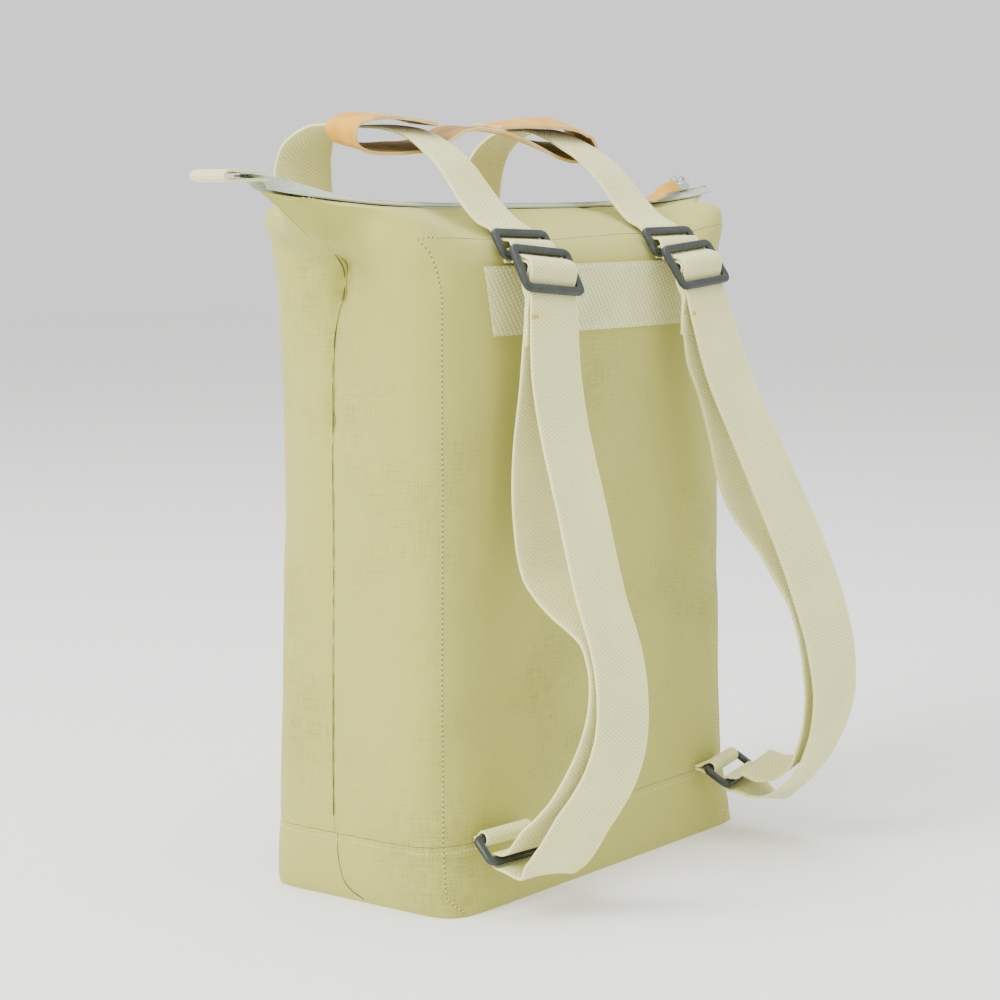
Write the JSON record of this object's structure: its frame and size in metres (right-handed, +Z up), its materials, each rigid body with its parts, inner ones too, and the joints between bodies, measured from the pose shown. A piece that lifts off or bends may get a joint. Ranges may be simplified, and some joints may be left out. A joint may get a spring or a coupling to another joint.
{
  "type": "convertible backpack",
  "caption": "Tall zip-top cloth tote worn as a backpack, with webbing straps that run on as carrying handles and a leather grip that joins them.",
  "frame": {"origin": "centre of the base's underside, on the floor", "axes": "+Z up, -Y out of the harness side that lies on the wearer's back, +X across the bag"},
  "size_m": [0.5218, 0.2781, 0.4924],
  "materials": {
    "cloth": "matt",
    "webbing": "matt",
    "zip_tape": "matt",
    "zip_coil": "satin",
    "zip_metal": "satin",
    "leather": "satin",
    "buckle_plastic": "satin"
  },
  "bodies": {
    "root": {"harness_panel": "cloth", "front_panel": "cloth", "base": "cloth", "back_band": "webbing", "zip_tape_back": "zip_tape", "zip_tape_front": "zip_tape", "zip_chain": "zip_coil", "zip_end_tab": "webbing", "zip_slider": "zip_metal", "zip_pull": "leather", "leather_grip": "leather", "upper_loop_left": "buckle_plastic", "strap_slider_left": "buckle_plastic", "bottom_ring_left": "buckle_plastic", "handle_webbing_left": "webbing", "shoulder_strap_left": "webbing", "upper_anchor_left": "webbing", "bottom_tab_left": "webbing", "upper_loop_right": "buckle_plastic", "strap_slider_right": "buckle_plastic", "bottom_ring_right": "buckle_plastic", "handle_webbing_right": "webbing", "shoulder_strap_right": "webbing", "upper_anchor_right": "webbing", "bottom_tab_right": "webbing"}
  },
  "joints": []
}
